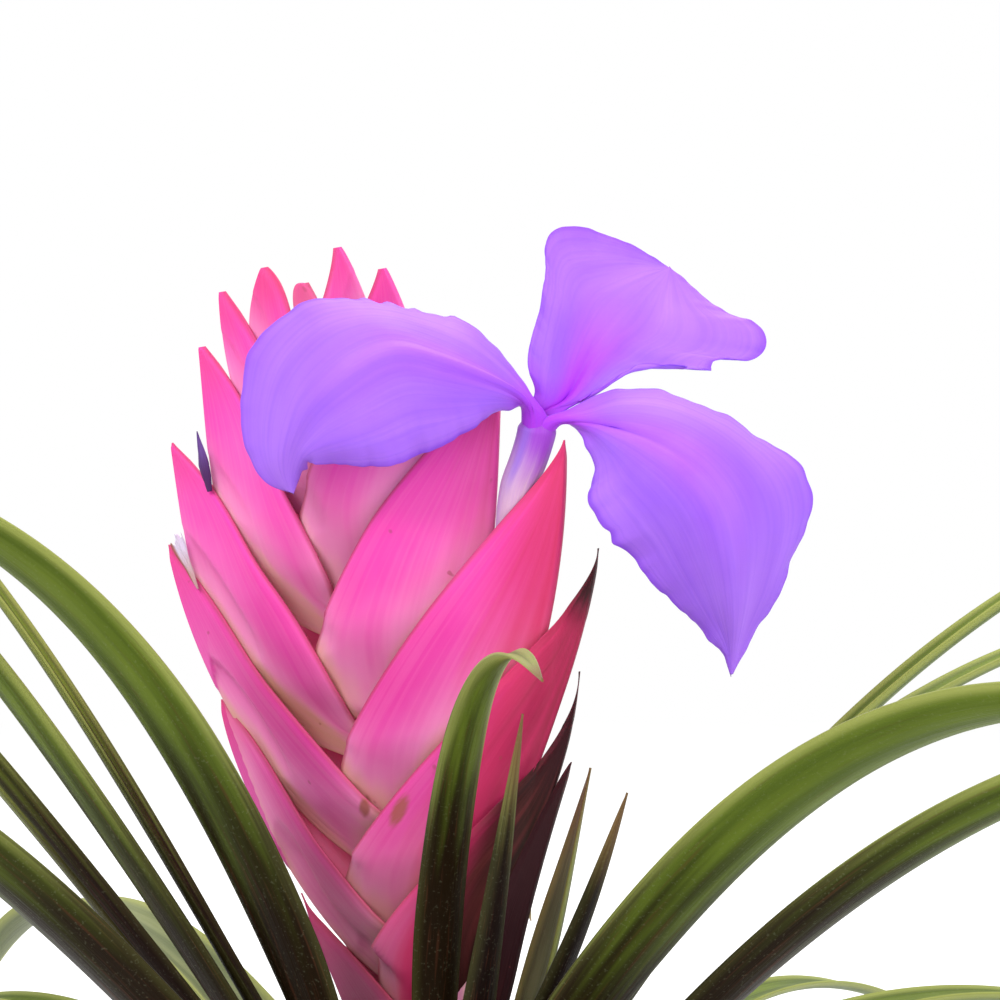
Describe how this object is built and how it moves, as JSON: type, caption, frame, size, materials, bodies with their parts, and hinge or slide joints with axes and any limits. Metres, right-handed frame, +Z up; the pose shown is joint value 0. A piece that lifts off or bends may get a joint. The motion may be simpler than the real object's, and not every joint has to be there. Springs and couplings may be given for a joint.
{
  "type": "pink quill plant",
  "caption": "Pink quill: rosette of arching channelled leaves around a flat spike of overlapping pink bracts with an open violet flower.",
  "frame": {"origin": "middle of the flat cut end of the stem, on the surface that the plant rests on", "axes": "+Z up along the stem, -Y toward the viewer of the spike's broad face, +X to the viewer's right"},
  "size_m": [0.3667, 0.3124, 0.1323],
  "materials": {
    "leaf_green": "satin",
    "leaf_shade": "matte",
    "leaf_dark": "satin",
    "bract_pink": "satin",
    "petal_violet": "satin",
    "bud_violet": "satin",
    "faded_petal": "matte",
    "stem": "matte"
  },
  "bodies": {
    "root": {"leaf_01": "leaf_green", "leaf_02": "leaf_green", "leaf_03": "leaf_green", "leaf_04": "leaf_green", "leaf_05": "leaf_green", "leaf_06": "leaf_green", "leaf_07": "leaf_green", "leaf_08": "leaf_green", "leaf_09": "leaf_green", "leaf_10": "leaf_green", "leaf_11": "leaf_green", "leaf_12": "leaf_shade", "leaf_13": "leaf_green", "leaf_14": "leaf_green", "leaf_15": "leaf_green", "leaf_16": "leaf_green", "leaf_17": "leaf_green", "leaf_18": "leaf_green", "leaf_19": "leaf_green", "leaf_20": "leaf_green", "leaf_21": "leaf_green", "leaf_22": "leaf_green", "leaf_23": "leaf_dark", "leaf_24": "leaf_shade", "leaf_25": "leaf_green", "leaf_26": "leaf_dark", "rosette_stem": "stem", "flower_spike": "bract_pink", "open_flower": "petal_violet", "flower_bud": "bud_violet", "spent_flower": "faded_petal"}
  },
  "joints": []
}
